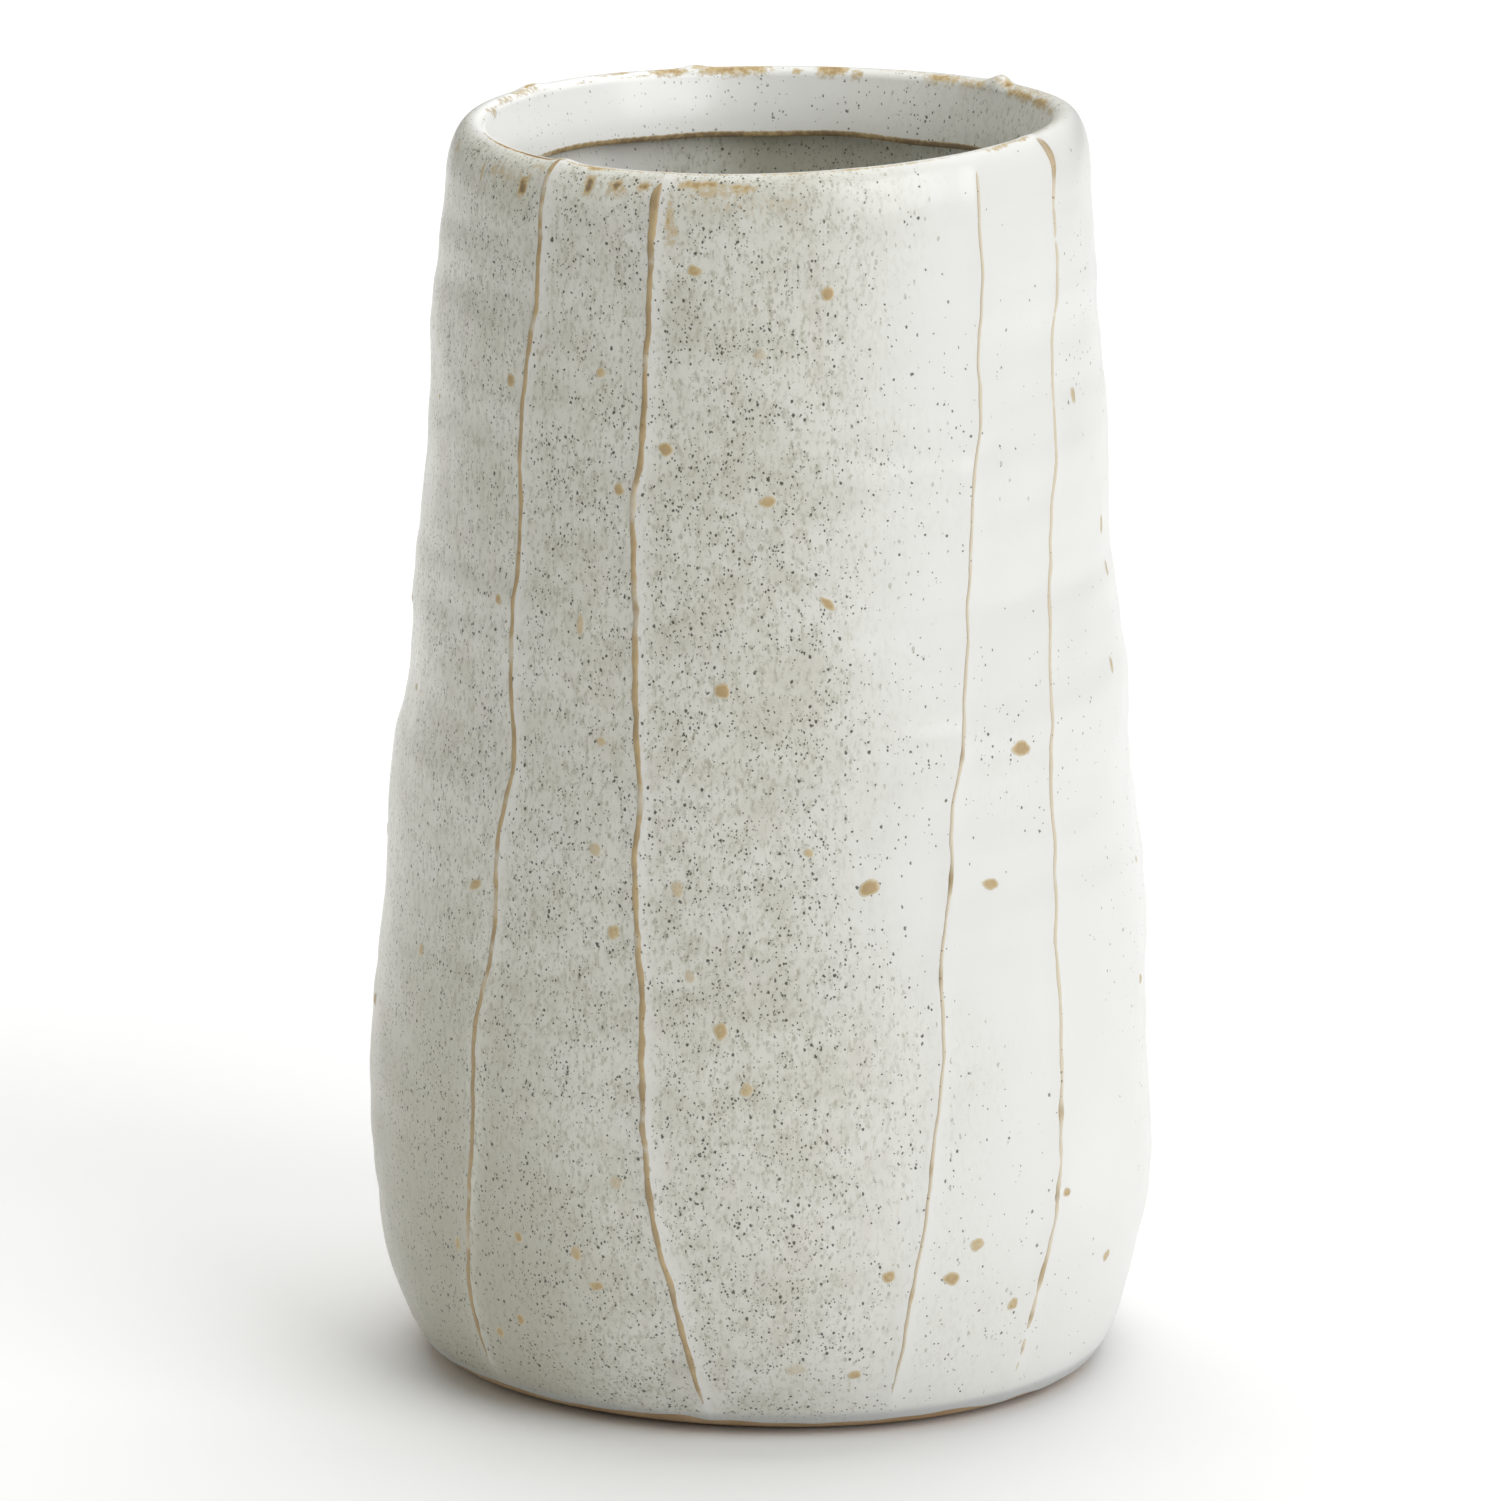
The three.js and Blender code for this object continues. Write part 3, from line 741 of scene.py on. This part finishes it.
def glaze_tone(m, thick, grey):
    """Colour of the glaze by how thick it lies, where that number also carries painted light and shade, with
    clouds, blotches and wisps where it is thin.
    """
    colour = m.mix(m.step(thick, 0.0, 1.0), GREY_GLAZE, THICK_GLAZE)
    colour = m.mix(m.step(thick, 1.0, 1.6), colour, WHITE_GLAZE)
    # Painted shade: below 0 the number darkens the glaze to the lining grey and then olive.
    colour = m.mix(m.step(thick, 0.0, -1.0), colour, LINING_SHADE_GLAZE)
    colour = m.mix(m.step(thick, -0.9, -1.6), colour, OLIVE_SHADE_GLAZE)
    clouds = m.step(m.noise(0.020, 4, m.stretched(1, 1, 1.9)), 0.42, 0.72, top=0.3)
    colour = m.mix(m.math("MULTIPLY", clouds, grey), colour, CLOUD)
    pale = m.step(m.noise(0.013, 3), 0.48, 0.75, top=0.6)
    pale = m.math("MULTIPLY", pale, m.step(thick, -0.8, 0.1))
    colour = m.mix(m.math("MULTIPLY", pale, grey), colour, PALE_CLOUD)
    warm = m.step(m.noise(0.0095, 4, m.stretched(1.2, 1.2, 0.9)), 0.54, 0.72, top=0.3)
    colour = m.mix(m.math("MULTIPLY", warm, grey), colour, WARM_CLOUD)
    blotches = m.step(m.noise(0.0040, 4, m.stretched(1, 1, 0.6), 0.7), 0.48, 0.74, top=0.42)
    colour = m.mix(m.math("MULTIPLY", blotches, grey), colour, CLOUD)
    wisps = m.step(m.noise(0.0010, 4, m.stretched(1, 1, 0.5), 0.75), 0.47, 0.7, top=0.75)
    return m.mix(m.math("MULTIPLY", wisps, grey), colour, WISP)


def speckled(m, colour, thick, grey):
    """Adds iron specks: dark, fine, and faint ones deep in the glaze. Also gives the dark ones."""
    cluster = m.step(m.noise(0.0065, 4), 0.36, 0.64, 0.3, 1.6)
    share = m.math("MULTIPLY", m.number("speckle"), cluster)
    colour = m.mix(m.step(share, 0.8, 1.6, top=0.25), colour, CLOUD)
    shaken = m.shaken(0.0006, 0.0006, 0.8)
    dark = m.specks(shaken, 0.0011, m.math("MULTIPLY", share, 0.42), 0.00014, 0.00038)
    fine = m.specks(shaken, 0.0007, m.math("MULTIPLY", share, 0.8), 0.00011, 0.00026)
    tall = m.shaken(0.0009, 0.0009, 0.5)
    faint = m.specks(tall, 0.0009, m.math("MULTIPLY", grey, 0.7), 0.00018, 0.00038)
    colour = m.mix(m.math("MULTIPLY", faint, 0.55), colour, FAINT_SPECK)
    depth = m.step(thick, 1.5, 0.6, 0.5, 0.93)
    shown = m.math("MULTIPLY", m.math("MAXIMUM", fine, dark), depth)
    return m.mix(shown, colour, DARK_SPECK), dark


def worn_thin(m, colour, ragged):
    """Adds the clay that shows, ragged at its edges, where the glaze is thin. Also gives how bare it is."""
    thin = m.number("thin")
    rough_edge = m.step(m.noise(0.0012, 5, roughness=0.65), 0.25, 0.75, -ragged, ragged)
    thin = m.math("ADD", thin, m.math("MULTIPLY", rough_edge, m.step(thin, 0.02, 0.3)))
    colour = m.mix(m.step(thin, 0.08, 0.45, top=0.85), colour, BEIGE)
    clay = m.mix(m.step(thin, 0.6, 0.95), GOLD_TAN, TAN)
    clay = m.mix(m.step(thin, 0.95, 1.4), clay, DARK_TAN)
    bare = m.step(thin, 0.35, 0.8)
    return m.mix(m.math("MULTIPLY", bare, 0.92), colour, clay), bare


def glaze_material(name, ragged):
    """Satin stoneware glaze: white where thick, grey and specked where thin, tan where it has run off; the
    thickness number also carries painted light and shade.
    """
    m = Material(name)
    thick = m.number("thick")
    grey = m.step(thick, 1.0, 0.0)
    colour, dark = speckled(m, glaze_tone(m, thick, grey), thick, grey)
    height = m.node("ShaderNodeSeparateXYZ", {"Vector": m.place}, output="Z")
    colour = m.mix(m.step(height, 0.0060, 0.0040, top=0.75), colour, BLUE_GREY)
    colour, bare = worn_thin(m, colour, ragged)

    peel = m.math("MULTIPLY", m.noise(0.007, 2), 0.00012)
    grain = m.math("MULTIPLY", m.noise(0.0011, 2), 0.000018)
    pits = m.math("MULTIPLY", m.math("ADD", dark, bare), -0.00003)
    bump = m.math("ADD", m.math("ADD", peel, grain), pits)
    roughness = m.step(m.math("ADD", m.noise(0.012, 2), bare), 0.3, 1.3, 0.32, 0.6)
    m.shader.inputs["Coat Weight"].default_value = 0.3
    m.shader.inputs["Coat Roughness"].default_value = 0.14
    return m.finish(colour, roughness, bump)


def thread_material():
    """Tan clay that shows through the glaze on a thread, paler where the glaze lies thick on it and, as
    painted light, where the key light falls on the right.
    """
    m = Material("thread_clay")
    tone = m.step(m.noise(0.005, 3), 0.3, 0.7)
    colour = m.mix(tone, THREAD_DARK, THREAD_LIGHT)
    colour = m.mix(m.step(m.number("thick"), 0.3, 0.9, top=0.85), colour, PALE_TAN)
    veil = m.step(m.noise(0.009, 3), 0.55, 0.72, top=0.55)
    colour = m.mix(veil, colour, GREY_GLAZE)
    dark = m.specks(m.shaken(0.0007, 0.0005), 0.0011, 0.35, 0.00012, 0.00028)
    colour = m.mix(m.math("MULTIPLY", dark, 0.8), colour, DARK_TAN)
    height = m.math("MULTIPLY", m.noise(0.0012, 3), 0.00006)
    m.shader.inputs["Coat Weight"].default_value = 0.3
    m.shader.inputs["Coat Roughness"].default_value = 0.15
    return m.finish(colour, m.step(tone, 0.0, 1.0, 0.42, 0.55), height)


def clay_material():
    """Bare fired stoneware: sandy tan, with darker grains and a dry, gritty surface."""
    m = Material("bare_clay")
    colour = m.mix(m.step(m.noise(0.009, 4), 0.3, 0.7), BARE, DARK_BARE)
    grit = m.noise(0.0007, 4, roughness=0.7)
    colour = m.mix(m.step(grit, 0.5, 0.8, top=0.5), colour, PALE_GRIT)
    dark = m.specks(m.shaken(0.0007, 0.0005), 0.0012, 0.3, 0.00012, 0.0003)
    colour = m.mix(m.math("MULTIPLY", dark, 0.8), colour, DARK_TAN)
    height = m.math("MULTIPLY", grit, 0.0002)
    return m.finish(colour, m.step(grit, 0.2, 0.8, 0.75, 0.95), height)


def floor_material():
    """Matte, almost white, with hardly any grain."""
    m = Material("pale_floor")
    colour = m.mix(m.noise(0.4, 2), FLOOR_DARK, FLOOR_LIGHT)
    return m.finish(colour, 0.9, m.math("MULTIPLY", m.noise(0.002, 2), 0.00002))


# ---------------------------------------------------------------- scene

def dress(piece, material, slot, *nodes):
    """Gives a piece its material and its place on the body, and hides the CAD nodes it stands for."""
    piece.data.materials.append(material)
    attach(piece, "root")
    if nodes:
        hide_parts(*nodes)


def aim(thing, place, target):
    """Puts a camera or light at a place, looking at a target."""
    thing.location = place
    thing.rotation_euler = (Vector(target) - Vector(place)).to_track_quat("-Z", "Y").to_euler()
    bpy.context.scene.collection.objects.link(thing)


def make_camera():
    """A long lens in front of the vase, a little above it."""
    lens = bpy.data.cameras.new("camera")
    lens.lens = CAMERA_LENS
    lens.sensor_width = 36
    camera = bpy.data.objects.new("camera", lens)
    tilt = math.radians(CAMERA_ELEVATION)
    back = Vector((0, -math.cos(tilt), math.sin(tilt))) * CAMERA_DISTANCE
    aim(camera, CAMERA_AIM + back, CAMERA_AIM)
    bpy.context.scene.camera = camera


def make_light(name, azimuth, elevation, distance, size, power, target):
    """A soft light at an angle and distance from a point, aimed at it."""
    lamp = bpy.data.lights.new(name, "AREA")
    lamp.shape = "RECTANGLE"
    lamp.size, lamp.size_y = size
    lamp.energy = power
    turn, tilt = math.radians(azimuth), math.radians(elevation)
    back = Vector((math.sin(turn) * math.cos(tilt), -math.cos(turn) * math.cos(tilt), math.sin(tilt)))
    light = bpy.data.objects.new(name, lamp)
    aim(light, target + back * distance, target)
    return light


def make_studio():
    """The floor, a dim world, a key light on the right, a fill on the left and light on the floor behind."""
    corners = np.array([[-1, -1, 0], [1, -1, 0], [1, 1, 0], [-1, 1, 0]]) * FLOOR_REACH
    floor = make_piece("floor", corners, [[0, 1, 2, 3]])
    floor.location.z = cad_box[0].z
    floor.data.materials.append(floor_material())
    world = bpy.data.worlds.new("studio")
    world.use_nodes = True
    world.node_tree.nodes["Background"].inputs["Color"].default_value = WORLD_COLOUR
    world.node_tree.nodes["Background"].inputs["Strength"].default_value = WORLD_STRENGTH
    bpy.context.scene.world = world
    middle = (cad_box[0] + cad_box[1]) / 2
    make_light("key", azimuth=46, elevation=32, distance=1.5, size=(1.1, 1.3), power=15.6,
               target=middle)
    fill = make_light("fill", azimuth=-68, elevation=30, distance=1.8, size=(1.4, 1.4), power=4.8,
                      target=middle)
    fill.data.color = FILL_COLOUR
    backdrop = make_light("backdrop_light", azimuth=180, elevation=90, distance=1.6, size=(2.0, 2.6),
                          power=46, target=Vector((0, 1.2, 0)))
    backdrop.visible_glossy = False
    bpy.context.scene.view_settings.view_transform = "Standard"


make_camera()
make_studio()
glaze = glaze_material("speckled_glaze", 0.4)
dress(make_wall(), glaze, "glaze", "wall")
dress(make_rim(), glaze, "glaze", "rim_collar")
dress(make_base(), clay_material(), "bare_clay", "base_slab")
thread_clay = thread_material()
for number, (width, beads, path) in enumerate(THREADS, 1):
    dress(make_thread(number, width, beads, path), thread_clay, "thread_clay", f"thread_{number}")
dress(make_grog(), glaze_material("grog_glaze", 0.12), "glaze")
